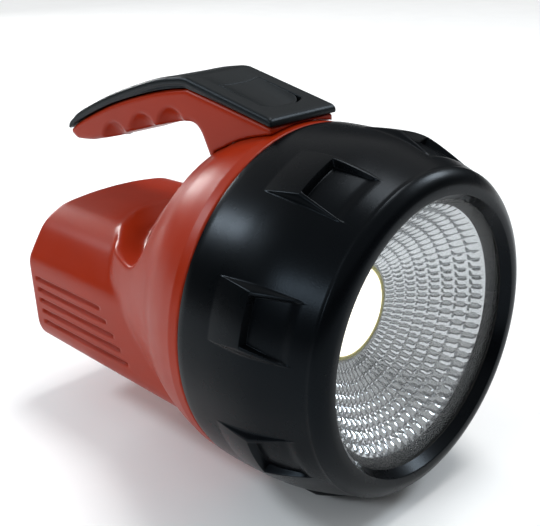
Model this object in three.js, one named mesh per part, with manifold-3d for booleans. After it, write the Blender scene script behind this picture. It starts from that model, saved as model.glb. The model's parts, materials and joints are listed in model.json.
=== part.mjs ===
// Hand-held firefighter flashlight: a round lamp head in a screw-on bezel, a rechargeable battery
// box behind it, and an open-ended carrying handle with the switch under the thumb.
//
// Millimetres, +Z up, the beam leaves along -Y. Inside this file y counts rearward from the rear rim
// of the bezel, and x and z from the beam axis. The finished lamp is then moved forward, so that the
// origin is the point where the beam axis meets the flat rear face of the battery box.

import * as THREE from 'three';
import { mergeVertices } from 'three/addons/utils/BufferGeometryUtils.js';
import Module from 'manifold-3d';

const wasm = await Module();
wasm.setup();

// ---------------------------------------------------------------- driving dimensions

const GAP = 0.3; // between faces that touch
const WALL = 2.8; // moulded casing
const RING_SEGMENTS = 48;
const INNER_SEGMENTS = 24; // rings that stay inside the casing
const SMALL_SEGMENTS = 10;

const BEZEL = {
  rearRadius: 60,
  frontY: -50.7,
  faceOuterRadius: 48.2,
  faceInnerRadius: 45.7,
  lipRadius: 43.8,
  lipRearY: -47.5,
  seatRadius: 50.6,
  threadRadius: 56.3,
  threadEndY: -16.5,
};
const NOTCH = {
  count: 8,
  firstAngle: 18, // degrees from straight up, turned towards +X
  startY: -13.5,
  stepY: -26.8,
  endY: -41.4,
  crestRadius: 61,
  floorRadius: 58.3,
  floorEndRadius: 54.4,
  endRadius: 54.9,
  footHalfWidth: { start: 9.3, step: 10.4, end: 10 },
  pocketHalfWidth: { step: 7.1, end: 9.6 },
};
const NECK = { radius: 55.6, bore: 52.4, frontY: -15.3, ledgeRadius: 47, ledgeY: -12, ledgeEndY: -9.4 };
const COLLAR = { radius: 59.6, startY: 0.4, endY: 5.4 };
const REAR_Y = 110; // flat rear face of the battery box
const BOX = {
  footHalfWidth: 42,
  halfWidth: 43.3, // at the shoulder
  bottom: -37.2,
  shoulder: -2,
  top: 18.2,
  cornerRadius: 9,
  startY: 20,
  draft: 0.0005,
};
const LENS = { radius: 49.8, frontY: -46.4, rearY: -43.5 };
const BOWL = { hubRadius: 17.4, hubY: -18.9, rimRadius: 41.2, focus: 14.5, flangeRadius: 49.8, depth: 2 };
const LED_Y = -18.8; // glowing face of the light source
const SINK = {
  radius: 51.8,
  frontY: -16.1,
  baseY: -12.3,
  finCount: 13,
  finRadius: 43,
  finEndY: 4,
  finPitch: 6.5,
  fin: 1.8,
};
const CELL = { radius: 9.1, frontY: 26, length: 65, pitch: 19, lowRowZ: -25 };
const HANDLE = { halfWidth: 15.2, coverHalfWidth: 15.8, plateFrontZ: 63.6, plateFrontY: 3 };
const BUTTON = {
  frontY: 11,
  rearY: 33,
  halfWidth: 9.2,
  noseRadius: 13.8,
  topZ: 63.4,
  slope: 0.245,
  height: 2.4,
  gap: 0.45,
};
const SWITCH = { y: 28.25, bottom: 54.6, top: 60.2 };
const SOCKET = { z: -26, hingeZ: -13.5, floorY: 105, bore: 2.95 };

// ---------------------------------------------------------------- shape helpers

function toSolid(geometry) {
  const bare = geometry.clone();
  bare.deleteAttribute('normal');
  bare.deleteAttribute('uv');
  const merged = mergeVertices(bare, 1e-4);
  const points = merged.attributes.position.array;
  const corners = merged.index.array;
  const triangles = [];
  let volume = 0;
  const [a, b, c] = [new THREE.Vector3(), new THREE.Vector3(), new THREE.Vector3()];
  for (let i = 0; i < corners.length; i += 3) {
    const [p, q, r] = corners.slice(i, i + 3);
    if (p === q || q === r || r === p) continue; // collapsed at a pole
    triangles.push([p, q, r]);
    volume += a.fromArray(points, 3 * p).dot(b.fromArray(points, 3 * q).cross(c.fromArray(points, 3 * r)));
  }
  const outward = volume < 0 ? triangles.map((t) => t.reverse()) : triangles;
  return new wasm.Manifold(new wasm.Mesh({
    numProp: 3,
    vertProperties: new Float32Array(points),
    triVerts: new Uint32Array(outward.flat()),
  }));
}

function join(first, ...others) {
  return others.reduce((sum, next) => sum.add(next), first);
}

function cut(solid, ...tools) {
  return tools.reduce((rest, tool) => rest.subtract(tool), solid);
}

// Profiles are lists of [radius, y]. One that leaves the axis open is a ring and closes on itself.
function lathe(profile, segments = RING_SEGMENTS) {
  const onAxis = profile[0][0] === 0;
  const points = (onAxis ? profile : [...profile, profile[0]]).map(([r, y]) => new THREE.Vector2(r, y));
  return toSolid(new THREE.LatheGeometry(points, segments));
}

function smooth(points, steps) {
  const curve = new THREE.SplineCurve(points.map(([u, v]) => new THREE.Vector2(u, v)));
  return curve.getPoints(steps).map((p) => [p.x, p.y]);
}

function shapeOf(points) {
  return new THREE.Shape(points.map(([u, v]) => new THREE.Vector2(u, v)));
}

const NO_BEVEL = { bevelEnabled: false, curveSegments: 4 };

function bevelOf(size) {
  return {
    bevelEnabled: true,
    bevelSize: size,
    bevelThickness: size,
    bevelOffset: -size,
    bevelSegments: 1,
    curveSegments: 4,
  };
}

function extrude(shape, length, bevel) {
  const options = bevel ? bevelOf(bevel) : NO_BEVEL;
  const geometry = new THREE.ExtrudeGeometry(shape, { ...options, depth: length - 2 * (bevel ?? 0) });
  return geometry.translate(0, 0, bevel ?? 0);
}

// The shape is drawn in (y, z) and runs from -halfWidth to +halfWidth in x.
function extrudeX(shape, halfWidth, bevel) {
  const turn = new THREE.Matrix4().set(0, 0, 1, -halfWidth, 1, 0, 0, 0, 0, 1, 0, 0, 0, 0, 0, 1);
  return toSolid(extrude(shape, 2 * halfWidth, bevel).applyMatrix4(turn));
}

// The shape is drawn in (x, z) and runs from startY to endY.
function extrudeYGeometry(shape, startY, endY, bevel) {
  const turn = new THREE.Matrix4().set(1, 0, 0, 0, 0, 0, -1, endY, 0, 1, 0, 0, 0, 0, 0, 1);
  return extrude(shape, endY - startY, bevel).applyMatrix4(turn);
}

function extrudeY(shape, startY, endY, bevel) {
  return toSolid(extrudeYGeometry(shape, startY, endY, bevel));
}

// The shape is drawn in (x, y) and runs from bottom to top.
function extrudeZ(shape, bottom, top) {
  return toSolid(extrude(shape, top - bottom).translate(0, 0, bottom));
}

function block([x0, x1], [y0, y1], [z0, z1]) {
  const geometry = new THREE.BoxGeometry(x1 - x0, y1 - y0, z1 - z0);
  return toSolid(geometry.translate((x0 + x1) / 2, (y0 + y1) / 2, (z0 + z1) / 2));
}

function rodY(radius, startY, endY, x = 0, z = 0, segments = SMALL_SEGMENTS) {
  const geometry = new THREE.CylinderGeometry(radius, radius, endY - startY, segments);
  return toSolid(geometry.translate(x, (startY + endY) / 2, z));
}

function rodZ(radius, bottom, top, x = 0, y = 0, segments = SMALL_SEGMENTS) {
  const geometry = new THREE.CylinderGeometry(radius, radius, top - bottom, segments).rotateX(Math.PI / 2);
  return toSolid(geometry.translate(x, y, (bottom + top) / 2));
}

function rodX(radius, startX, endX, y, z, segments = SMALL_SEGMENTS) {
  const geometry = new THREE.CylinderGeometry(radius, radius, endX - startX, segments).rotateZ(Math.PI / 2);
  return toSolid(geometry.translate((startX + endX) / 2, y, z));
}

// Turns a solid about the beam axis, from straight up towards +X.
function turned(solid, degrees) {
  return solid.rotate([0, degrees, 0]);
}

function onRing(radius, degrees) {
  const angle = THREE.MathUtils.degToRad(degrees);
  return [radius * Math.sin(angle), radius * Math.cos(angle)];
}

// ---------------------------------------------------------------- the lamp and its finishes

const lamp = new THREE.Group();
lamp.position.y = -REAR_Y;

function finish(color, roughness, metalness) {
  return { color, roughness, metalness };
}

const RED_PLASTIC = finish(0x963a28, 0.42, 0);
const BLACK_PLASTIC = finish(0x14181b, 0.38, 0);
const GRIP_BLACK = finish(0x2a2f2e, 0.5, 0);
const CLEAR_PLASTIC = finish(0xf4f6f7, 0.06, 0);
const MIRROR_COAT = finish(0xd8dadb, 0.16, 0.9);
const RUBBER = finish(0x1b1b1b, 0.85, 0);
const ALUMINIUM = finish(0xb4b7ba, 0.4, 0.95);
const STEEL = finish(0xa9abad, 0.35, 1);
const NICKEL = finish(0xc6c2b8, 0.3, 1);
const BOARD_GREEN = finish(0x1c5a35, 0.55, 0);
const BOARD_WHITE = finish(0xe9e9e4, 0.6, 0);
const PHOSPHOR = finish(0xfff6d0, 0.5, 0);
const DAM_YELLOW = finish(0xa8a04a, 0.5, 0);
const CELL_WRAP = finish(0x2f6f9c, 0.4, 0);
const COMPONENT = finish(0x2b2b2e, 0.5, 0);
const FOAM = finish(0x3c3c3c, 0.95, 0);
const LEAD = finish(0x7d1f1f, 0.5, 0);

function add(name, solid, look) {
  const { vertProperties, triVerts } = solid.getMesh();
  const geometry = new THREE.BufferGeometry();
  geometry.setAttribute('position', new THREE.BufferAttribute(new Float32Array(vertProperties), 3));
  geometry.setIndex(new THREE.BufferAttribute(new Uint32Array(triVerts), 1));
  geometry.computeVertexNormals();
  const mesh = new THREE.Mesh(geometry, new THREE.MeshStandardMaterial(look));
  mesh.name = name;
  lamp.add(mesh);
}

// ---------------------------------------------------------------- casing

// Half the width of the box, which tapers below its shoulder.
function boxSide(z) {
  const share = (z - BOX.bottom) / (BOX.shoulder - BOX.bottom);
  return BOX.footHalfWidth + (BOX.halfWidth - BOX.footHalfWidth) * share;
}

// From the sloping shoulder to the low arched top: end of the slope, haunch and foot of the arch.
const BOX_ARCH = [[37.5, 7], [32, 15.4], [21, 16.8]];

function boxOutline() {
  const { halfWidth, bottom, top, shoulder, cornerRadius: r } = BOX;
  const [bend, haunch, arch] = BOX_ARCH;
  const heel = boxSide(bottom + r);
  const shape = new THREE.Shape();
  shape.moveTo(0, bottom);
  shape.lineTo(heel - r, bottom);
  shape.absarc(heel - r, bottom + r, r, -Math.PI / 2, 0, false);
  shape.lineTo(halfWidth, shoulder);
  shape.lineTo(...bend);
  shape.quadraticCurveTo(...haunch, ...arch);
  shape.quadraticCurveTo(arch[0] / 2, top, 0, top);
  shape.quadraticCurveTo(-arch[0] / 2, top, -arch[0], arch[1]);
  shape.quadraticCurveTo(-haunch[0], haunch[1], -bend[0], bend[1]);
  shape.lineTo(-halfWidth, shoulder);
  shape.lineTo(-heel, bottom + r);
  shape.absarc(r - heel, bottom + r, r, Math.PI, 1.5 * Math.PI, false);
  return shape;
}

// The box widens a little towards the head, as a moulding drawn forward does.
function boxForm(inset) {
  const middleZ = (BOX.top + BOX.bottom) / 2;
  const halfHeight = (BOX.top - BOX.bottom) / 2;
  const geometry = extrudeYGeometry(boxOutline(), BOX.startY, REAR_Y - inset, inset ? 0 : 2.4);
  const points = geometry.attributes.position;
  for (let i = 0; i < points.count; i += 1) {
    const growth = 1 + BOX.draft * (REAR_Y - points.getY(i));
    points.setX(i, points.getX(i) * growth * (1 - inset / BOX.halfWidth));
    points.setZ(i, middleZ + (points.getZ(i) - middleZ) * growth * (1 - inset / halfHeight));
  }
  return toSolid(geometry);
}

// The two rearward forms of the head, as radius and y. The lower one flares out of the sides of the
// box, and the upper one is the steeper dome that shows above the finger channel.
const HEAD_FRONT = [[59, 5.4], [57.5, 12], [54.7, 20]];
const FLARE = [...HEAD_FRONT, [51, 29], [47.6, 38], [44.4, 48], [42, 56], [39.7, 59.2], [36.4, 63.2],
  [32.5, 68.5], [28.1, 72.1], [22, 76], [12, 79]];
const DOME = [...HEAD_FRONT, [49.6, 28], [44.3, 36], [36.8, 46], [28.6, 56], [20, 63.5], [9, 68.5]];
const DOME_TIP = 1.5;

function headForm(outline, inset) {
  const rings = outline.map(([r, y]) => [r - inset, y]);
  const lastY = rings.at(-1)[1];
  const tipY = outline === DOME ? lastY + DOME_TIP - inset / 2 : lastY;
  return lathe([[0, COLLAR.endY], ...rings, [0, tipY]], inset > 1 ? INNER_SEGMENTS : RING_SEGMENTS);
}

// Floor of the finger channel, from the back of the head to where it comes out of the top of the box.
const CHANNEL = [[29.5, 60], [30.2, 40], [32.3, 25.5], [34, 20.6], [37, 16.2], [41, 13], [45, 12.3],
  [50, 12.9], [58, 14.6], [66, 16.3], [74, 18.2], [95, 26]];

function channelCut(inset) {
  const openTop = 90;
  const floor = CHANNEL.map(([y, z], i) => {
    const [y0, z0] = CHANNEL[Math.max(i - 1, 0)];
    const [y1, z1] = CHANNEL[Math.min(i + 1, CHANNEL.length - 1)];
    const run = Math.hypot(y1 - y0, z1 - z0);
    return [y + (inset * (z1 - z0)) / run, z - (inset * (y1 - y0)) / run];
  });
  const [frontY] = floor[0];
  const [rearY] = floor.at(-1);
  return extrudeX(shapeOf([...floor, [rearY, openTop], [frontY, openTop]]), 70);
}

function casingForm(inset) {
  const behind = cut(join(boxForm(inset), headForm(FLARE, inset)), channelCut(inset));
  return join(behind, headForm(DOME, inset));
}

// Grip grooves along the box, each a little shorter and lower than the one above it.
const GROOVES = { count: 5, depth: 1.1, halfHeight: 0.8, topZ: -9.2, pitch: 4.5, rearY: 105, frontY: 63 };

function sideGroove(index, side) {
  const { depth, halfHeight, topZ, pitch } = GROOVES;
  const rear = GROOVES.rearY - 0.6 * index;
  const front = GROOVES.frontY - 3.6 * index;
  const z = topZ - pitch * index;
  const outside = side * 50;
  const [atRear, atFront] = [rear, front].map((y) => {
    return [side * (boxSide(z) * (1 + BOX.draft * (REAR_Y - y)) - depth), y];
  });
  const plan = [atFront, atRear, [outside, rear], [outside, front]];
  return extrudeZ(shapeOf(side > 0 ? plan : plan.reverse()), z - halfHeight, z + halfHeight);
}

const BULKHEAD_ANGLES = [90, 180, 270];
const BULKHEAD_SCREW_RADIUS = 43;
const ARM_SCREW = { x: 11, y: 24, clearance: 1.6 };
const LEDGE_ANGLES = [30, 150, 270];
const LEDGE_SCREW_RADIUS = 49.6;

function armScrewHoleTools(top) {
  const { x, y, clearance } = ARM_SCREW;
  return [-1, 1].map((side) => rodZ(clearance, 40, top, side * x, y));
}

function bodyShell() {
  const collar = lathe([[0, COLLAR.startY], [COLLAR.radius, COLLAR.startY], [COLLAR.radius, COLLAR.endY],
    [0, COLLAR.endY + 1]]);
  const neck = lathe([[0, NECK.frontY], [NECK.radius - 1, NECK.frontY], [NECK.radius, NECK.frontY + 1],
    [NECK.radius, COLLAR.startY + 1], [0, COLLAR.startY + 1]]);
  const bore = lathe([[0, NECK.frontY - 1], [NECK.bore, NECK.frontY - 1], [NECK.bore, NECK.ledgeY],
    [NECK.ledgeRadius, NECK.ledgeY], [NECK.ledgeRadius, NECK.ledgeEndY], [NECK.bore, NECK.ledgeEndY + 3],
    [NECK.bore, 3.4], [55.8, 6.8], [0, 6.8]], INNER_SEGMENTS);
  const sealGroove = lathe([[53.6, -3.7], [58, -3.7], [58, -0.7], [53.6, -0.7]]);
  const hollow = join(casingForm(WALL), bore);
  const bosses = BULKHEAD_ANGLES.map((angle) => {
    const [x, z] = onRing(BULKHEAD_SCREW_RADIUS, angle);
    return cut(rodY(3.6, 19.6, 48, x, z), rodY(1.5, 19, 32, x, z));
  });
  const bossesInside = join(...bosses).intersect(casingForm(1));
  const socketBacking = block([-12.6, 12.6], [101.8, 108.5], [-36, -5.6]);
  const socketRecess = block([-9.6, 9.6], [SOCKET.floorY, REAR_Y + 1], [-34, -8.4]);
  const ledgeHoles = LEDGE_ANGLES.map((angle) => rodY(1.5, -13, -8, ...onRing(LEDGE_SCREW_RADIUS, angle)));
  const armScrewHoles = armScrewHoleTools(60);
  const leadHole = rodZ(2.6, 40, 56, 0, SWITCH.y);
  const grooves = [-1, 1].flatMap((side) => {
    return Array.from({ length: GROOVES.count }, (_, index) => sideGroove(index, side));
  });
  const shell = join(cut(join(casingForm(0), collar, neck), hollow, sealGroove), bossesInside, socketBacking);
  return cut(shell, socketRecess, rodY(4.3, 100, REAR_Y, 0, SOCKET.z), rodX(0.9, -7, 7, SOCKET.floorY, -10.4),
    leadHole, ...ledgeHoles, ...armScrewHoles, ...grooves);
}

add('body_shell', bodyShell(), RED_PLASTIC);
add('collar_seal', toSolid(new THREE.TorusGeometry(54.85, 1.05, 6, RING_SEGMENTS).rotateX(Math.PI / 2)
  .translate(0, -2.2, 0)), RUBBER);

// ---------------------------------------------------------------- carrying handle

const SEAM = [[3.4, 60.4], [40, 67.4], [45, 67.6], [61.4, 64.3], [85.4, 56.9], [105.7, 48.2], [114.2, 43.2]];
const UNDERSIDE = [[109.5, 39.7], [100, 41.1], [87, 44.3], [74.4, 48.6], [57, 53.6], [46, 56.2]];
const COVER_TOP = [[114.3, 45.4], [111.4, 48.2], [105.1, 52.2], [85, 60.9], [61, 68.8], [47.4, 71.5]];
const COVER_SCREWS = [[57, 53.8, 65], [98, 41.4, 51.5]]; // y, underside z, seam z

function seamCurve(shape, lift) {
  shape.lineTo(SEAM[1][0], SEAM[1][1] + lift);
  shape.splineThru(SEAM.slice(2).map(([y, z]) => new THREE.Vector2(y, z + lift)));
}

function armForm() {
  const shape = new THREE.Shape();
  shape.moveTo(SEAM[0][0], 20);
  shape.lineTo(...SEAM[0]);
  seamCurve(shape, 0);
  shape.quadraticCurveTo(114, 39.9, ...UNDERSIDE[0]);
  shape.splineThru(UNDERSIDE.slice(1).map(([y, z]) => new THREE.Vector2(y, z)));
  shape.quadraticCurveTo(40.5, 57.4, 35, 50.8);
  shape.lineTo(28, 38);
  shape.lineTo(28, 20);
  return extrudeX(shape, HANDLE.halfWidth, 1);
}

// Three shallow finger dimples along each lower edge of the grip.
function fingerDimple([y, underside], side) {
  const ball = new THREE.SphereGeometry(10, 14, 10);
  return toSolid(ball.translate(side * (HANDLE.halfWidth + 6.3), y, underside - 2.4));
}

function handleArm() {
  const head = join(casingForm(-GAP), rodY(COLLAR.radius + GAP, COLLAR.startY - GAP, COLLAR.endY + GAP,
    0, 0, RING_SEGMENTS));
  const buttonWell = extrudeX(shapeOf([[9.8, 59.6], [20.5, 57.4], [20.5, 80], [9.8, 80]]), 10.6);
  const rearWell = extrudeX(shapeOf([[20.4, 60.6], [34.6, 60.6], [47, 64.5], [47, 80], [20.4, 80]]), 10.6);
  const switchWell = block([-6.6, 6.6], [22.8, 34.2], [SWITCH.bottom - GAP, 70]);
  const dimples = [[84.5, 45.2], [67.5, 50.8], [51.5, 55]].flatMap((place) => [
    fingerDimple(place, -1), fingerDimple(place, 1)]);
  const armScrews = armScrewHoleTools(57.8);
  const coverScrews = COVER_SCREWS.flatMap(([y, underside, seam]) => [
    rodZ(3.3, underside - 5, underside + 2.4, 0, y), rodZ(1.6, underside, seam + 3, 0, y)]);
  return cut(armForm(), head, buttonWell, rearWell, switchWell, rodZ(2.6, 40, 60, 0, SWITCH.y),
    ...dimples, ...armScrews, ...coverScrews);
}

function buttonOutline(grow) {
  const { frontY, rearY, halfWidth, noseRadius } = BUTTON;
  const radius = noseRadius + grow;
  const side = halfWidth + grow;
  const centreY = frontY + noseRadius;
  const spread = Math.asin(side / radius);
  const shape = new THREE.Shape();
  shape.absarc(0, centreY, radius, -Math.PI / 2 - spread, -Math.PI / 2 + spread, false);
  shape.lineTo(side, rearY + grow - 4);
  shape.quadraticCurveTo(side, rearY + grow, side - 5, rearY + grow);
  shape.lineTo(5 - side, rearY + grow);
  shape.quadraticCurveTo(-side, rearY + grow, -side, rearY + grow - 4);
  return shape;
}

// Line of the thumb dish and of the button face, rising towards the rear.
function dishZ(y) {
  return BUTTON.topZ + BUTTON.slope * (y - BUTTON.frontY - 1);
}

function handleCover() {
  const shape = new THREE.Shape();
  shape.moveTo(SEAM[0][0] - 0.5, SEAM[0][1] + GAP);
  seamCurve(shape, GAP);
  shape.splineThru(COVER_TOP.map(([y, z]) => new THREE.Vector2(y, z)));
  shape.lineTo(42.6, 71.9);
  shape.lineTo(HANDLE.plateFrontY + 0.8, HANDLE.plateFrontZ);
  shape.lineTo(SEAM[0][0] - 0.5, HANDLE.plateFrontZ - 0.8);
  const dishRadius = 18.7;
  const dishRoll = new THREE.CylinderGeometry(dishRadius, dishRadius, 90, 48).rotateX(Math.atan(BUTTON.slope))
    .translate(0, 30, dishZ(30) - 0.5 + dishRadius / Math.cos(Math.atan(BUTTON.slope)));
  const dishPlan = buttonOutline(BUTTON.gap);
  const opening = extrudeZ(dishPlan, 55, 90);
  const dish = toSolid(dishRoll).intersect(join(opening, block([-14, 14], [17, 60], [55, 90])));
  const screwHoles = COVER_SCREWS.map(([y, , seam]) => rodZ(1.25, seam - 2, seam + 2.6, 0, y));
  return cut(extrudeX(shape, HANDLE.coverHalfWidth), dish, opening, ...screwHoles);
}

function switchButton() {
  const { height } = BUTTON;
  const face = [[5, dishZ(5)], [45, dishZ(45)], [45, dishZ(45) - height], [5, dishZ(5) - height]];
  const slab = extrudeX(shapeOf(face), 20);
  return extrudeZ(buttonOutline(0), 50, 80).intersect(slab);
}

function panScrew(headRadius, headHeight, radius, length, up) {
  const profile = [[0, 0], [headRadius, 0], [headRadius, headHeight], [radius, headHeight],
    [radius, headHeight + length], [0, headHeight + length]];
  const solid = lathe(profile, SMALL_SEGMENTS);
  return up ? solid.rotate([90, 0, 0]) : solid;
}

add('handle_arm', handleArm(), RED_PLASTIC);
add('handle_cover', handleCover(), GRIP_BLACK);
add('switch_button', switchButton(), GRIP_BLACK);
COVER_SCREWS.forEach(([y, underside, seam], index) => {
  const screw = panScrew(2.8, 1.8, 1.1, seam - underside - 0.4, true);
  add(`cover_screw_${index + 1}`, screw.translate([0, y, underside + 0.2]), STEEL);
});
[-1, 1].forEach((side, index) => {
  const screw = panScrew(3, 1.8, 1.3, 10.6, true);
  add(`arm_screw_${index + 1}`, screw.translate([side * ARM_SCREW.x, ARM_SCREW.y, 43.8]), STEEL);
});

// ---------------------------------------------------------------- switch under the thumb button

const PLUNGER_TOP = dishZ(SWITCH.y) - BUTTON.height - 1;

add('switch_body', cut(block([-6, 6], [23.4, 33.8], [SWITCH.bottom, SWITCH.top]),
  rodZ(2.4, SWITCH.top - 3.4, SWITCH.top + 1, 0, SWITCH.y)), COMPONENT);
add('switch_plunger', rodZ(1.9, SWITCH.top - 1.4, PLUNGER_TOP, 0, SWITCH.y), BOARD_WHITE);
add('switch_boot', lathe([[2.3, 0], [4.2, 0], [4.2, 0.6], [2.9, 1.6], [2.3, 1.6]], SMALL_SEGMENTS)
  .rotate([90, 0, 0]).translate([0, SWITCH.y, SWITCH.top + GAP]), RUBBER);

function buttonSpring() {
  const turns = 2.5;
  const stepsPerTurn = 10;
  const radius = 5.2;
  const bottom = SWITCH.top + 0.7;
  const height = 2.2;
  const points = Array.from({ length: turns * stepsPerTurn + 1 }, (_, i) => {
    const angle = (2 * Math.PI * i) / stepsPerTurn;
    return new THREE.Vector3(radius * Math.cos(angle), SWITCH.y + radius * Math.sin(angle),
      bottom + (height * i) / (turns * stepsPerTurn));
  });
  return tube(points, 0.35, turns * stepsPerTurn, 6);
}

function tube(points, radius, steps, sides = 8) {
  const ring = new THREE.Shape().absarc(0, 0, radius, 0, 2 * Math.PI, false);
  const section = shapeOf(ring.getPoints(sides).slice(0, sides).map((p) => [p.x, p.y]));
  const extrudePath = new THREE.CatmullRomCurve3(points);
  const options = { steps, bevelEnabled: false, extrudePath, curveSegments: 1 };
  return toSolid(new THREE.ExtrudeGeometry(section, options));
}

add('button_spring', buttonSpring(), STEEL);

// ---------------------------------------------------------------- bezel and front optics

const BARREL = [[60, 0], [60.3, -7], [60, -18], [58.9, -28], [56.2, -38], [53.3, -46.7]];

function bezelRing() {
  const { frontY, faceOuterRadius, faceInnerRadius, lipRearY, lipRadius } = BEZEL;
  const { seatRadius, threadRadius, threadEndY } = BEZEL;
  const face = [[51.6, -49.2], [faceOuterRadius, frontY], [faceInnerRadius, frontY]];
  const inside = [[lipRadius, lipRearY], [seatRadius, lipRearY], [seatRadius, threadEndY - 3],
    [threadRadius, threadEndY], [threadRadius, 0]];
  const ring = lathe([...smooth(BARREL, 10), ...face, ...inside]);
  return cut(join(ring, roundBezel(gripWedge())), roundBezel(gripPocket()));
}

// Eight copies of a form on top of the bezel, spread round it.
function roundBezel(form) {
  return join(...Array.from({ length: NOTCH.count }, (_, i) => {
    return turned(form, NOTCH.firstAngle + (360 / NOTCH.count) * i);
  }));
}

// What a ring has on top of the bezel inside a plan outline, given as half widths at each y.
function overPlan(ring, halfWidths) {
  const right = halfWidths.map(([half, y]) => [half, y]);
  const left = halfWidths.map(([half, y]) => [-half, y]).reverse();
  return extrudeZ(shapeOf([...right, ...left]), 40, 70).intersect(ring);
}

// A wedge that rises out of the barrel to a crest and falls back into it. Its underside stays inside the
// bezel's wall.
function gripWedge() {
  const { startY, stepY, endY, crestRadius, endRadius, footHalfWidth } = NOTCH;
  const { seatRadius, threadRadius, threadEndY } = BEZEL;
  const underThread = threadRadius + 1.2;
  const underSeat = seatRadius + 1.4;
  const ring = lathe([[59.9, startY], [crestRadius, stepY], [endRadius, endY], [underSeat, endY],
    [underSeat, stepY], [underThread, threadEndY - 3], [underThread, startY]]);
  return overPlan(ring, [[footHalfWidth.start, startY], [footHalfWidth.step, stepY],
    [footHalfWidth.end, endY]]);
}

// The finger pocket ahead of the crest. It leaves a thin wall of the wedge on each side.
function gripPocket() {
  const { stepY, endY, floorRadius, floorEndRadius, pocketHalfWidth } = NOTCH;
  const ring = lathe([[floorRadius, stepY], [floorEndRadius, endY - 1], [70, endY - 1], [70, stepY]]);
  return overPlan(ring, [[pocketHalfWidth.step, stepY], [pocketHalfWidth.end, endY - 1]]);
}

function bowlY(radius) {
  return BOWL.hubY - (radius ** 2 - BOWL.hubRadius ** 2) / (4 * BOWL.focus);
}

function reflector() {
  const steps = 5;
  const radii = Array.from({ length: steps + 1 }, (_, i) => {
    return BOWL.hubRadius + ((BOWL.rimRadius - BOWL.hubRadius) * i) / steps;
  });
  const flangeY = bowlY(BOWL.rimRadius);
  const front = radii.map((r) => [r, bowlY(r)]);
  const back = radii.slice(1).map((r) => [r + 0.4, bowlY(r) + BOWL.depth]).reverse();
  return lathe([...front, [BOWL.flangeRadius, flangeY], [BOWL.flangeRadius, flangeY + 1.6],
    [BOWL.rimRadius + 1.6, flangeY + 1.6], ...back]);
}

add('bezel_ring', bezelRing(), BLACK_PLASTIC);
add('lens_gasket', lathe([[44.4, -47.2], [LENS.radius, -47.2], [LENS.radius, -46.7], [44.4, -46.7]]), RUBBER);
add('lens', rodY(LENS.radius, LENS.frontY, LENS.rearY, 0, 0, RING_SEGMENTS), CLEAR_PLASTIC);
add('reflector', reflector(), MIRROR_COAT);

// ---------------------------------------------------------------- light source and heat sink

const BOARD_HALF = 19;
const LED_SCREWS = [-1, 1].map((side) => [side * 16.4, side * 16.4]);

function ledBoard() {
  const corner = 6;
  const flat = BOARD_HALF - corner;
  const shape = shapeOf([[-flat, -BOARD_HALF], [flat, -BOARD_HALF], [BOARD_HALF, -flat], [BOARD_HALF, flat],
    [flat, BOARD_HALF], [-flat, BOARD_HALF], [-BOARD_HALF, flat], [-BOARD_HALF, -flat]]);
  const holes = LED_SCREWS.map(([x, z]) => rodY(1.5, -19, -15, x, z));
  return cut(extrudeY(shape, -18, -16.4), ...holes);
}

function heatSink() {
  const { radius, frontY, baseY, finCount, finRadius, finEndY, finPitch, fin } = SINK;
  const fins = Array.from({ length: finCount }, (_, i) => (i - (finCount - 1) / 2) * finPitch).map((x) => {
    const half = Math.sqrt(finRadius ** 2 - x ** 2);
    return block([x - fin / 2, x + fin / 2], [baseY - 0.5, finEndY], [-half, half]);
  });
  const ledgeHoles = LEDGE_ANGLES.map((angle) => rodY(1.7, -17, -11, ...onRing(LEDGE_SCREW_RADIUS, angle)));
  const boardHoles = LED_SCREWS.map(([x, z]) => rodY(1.25, -17, -11, x, z));
  const leadSlot = block([-2.6, 2.6], [-17, 8], [19.6, 26]);
  return cut(join(rodY(radius, frontY, baseY, 0, 0, 48), ...fins), leadSlot, ...ledgeHoles, ...boardHoles);
}

add('led_board', ledBoard(), BOARD_WHITE);
add('led_dam', lathe([[15.9, -18.95], [16.9, -18.95], [16.9, -18.3], [15.9, -18.3]], 48), DAM_YELLOW);
add('led_phosphor', rodY(15.6, LED_Y, -18.3, 0, 0, 48), PHOSPHOR);
add('heat_sink', heatSink(), ALUMINIUM);
LED_SCREWS.forEach(([x, z], index) => {
  add(`led_screw_${index + 1}`, panScrew(2.1, 0.9, 1.05, 4.4).translate([x, -19.2, z]), STEEL);
});
LEDGE_ANGLES.forEach((angle, index) => {
  const [x, z] = onRing(LEDGE_SCREW_RADIUS, angle);
  add(`sink_screw_${index + 1}`, panScrew(2.3, 1.2, 1.2, 7).translate([x, -17.6, z]), STEEL);
});

// ---------------------------------------------------------------- driver and bulkhead

const BULKHEAD = { frontY: 17, rearY: 19.2, radius: 47 };
const DRIVER = { frontY: 8.6, rearY: 10.2, halfWidth: 30, bottom: -28, top: 10 };

function driverBoard() {
  const { halfWidth, frontY, rearY, bottom, top } = DRIVER;
  const board = block([-halfWidth, halfWidth], [frontY, rearY], [bottom, top]);
  const chips = [[-20, -18, 4], [18, -4, 5], [20, -18, 3]].map(([x, z, half]) => {
    return block([x - half, x + half], [rearY - 0.2, rearY + 2], [z - half, z + half]);
  });
  return join(board, ...chips);
}

function bulkhead() {
  const plate = rodY(BULKHEAD.radius, BULKHEAD.frontY, BULKHEAD.rearY, 0, 0, 48);
  const posts = [-1, 1].map((side) => rodY(3, DRIVER.rearY + GAP, BULKHEAD.frontY + 1, side * 26, 4));
  const holes = BULKHEAD_ANGLES.map((angle) => rodY(1.7, 16, 20, ...onRing(BULKHEAD_SCREW_RADIUS, angle)));
  return cut(join(plate, ...posts), ...holes, rodY(3, 16, 20, 0, -30));
}

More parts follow.
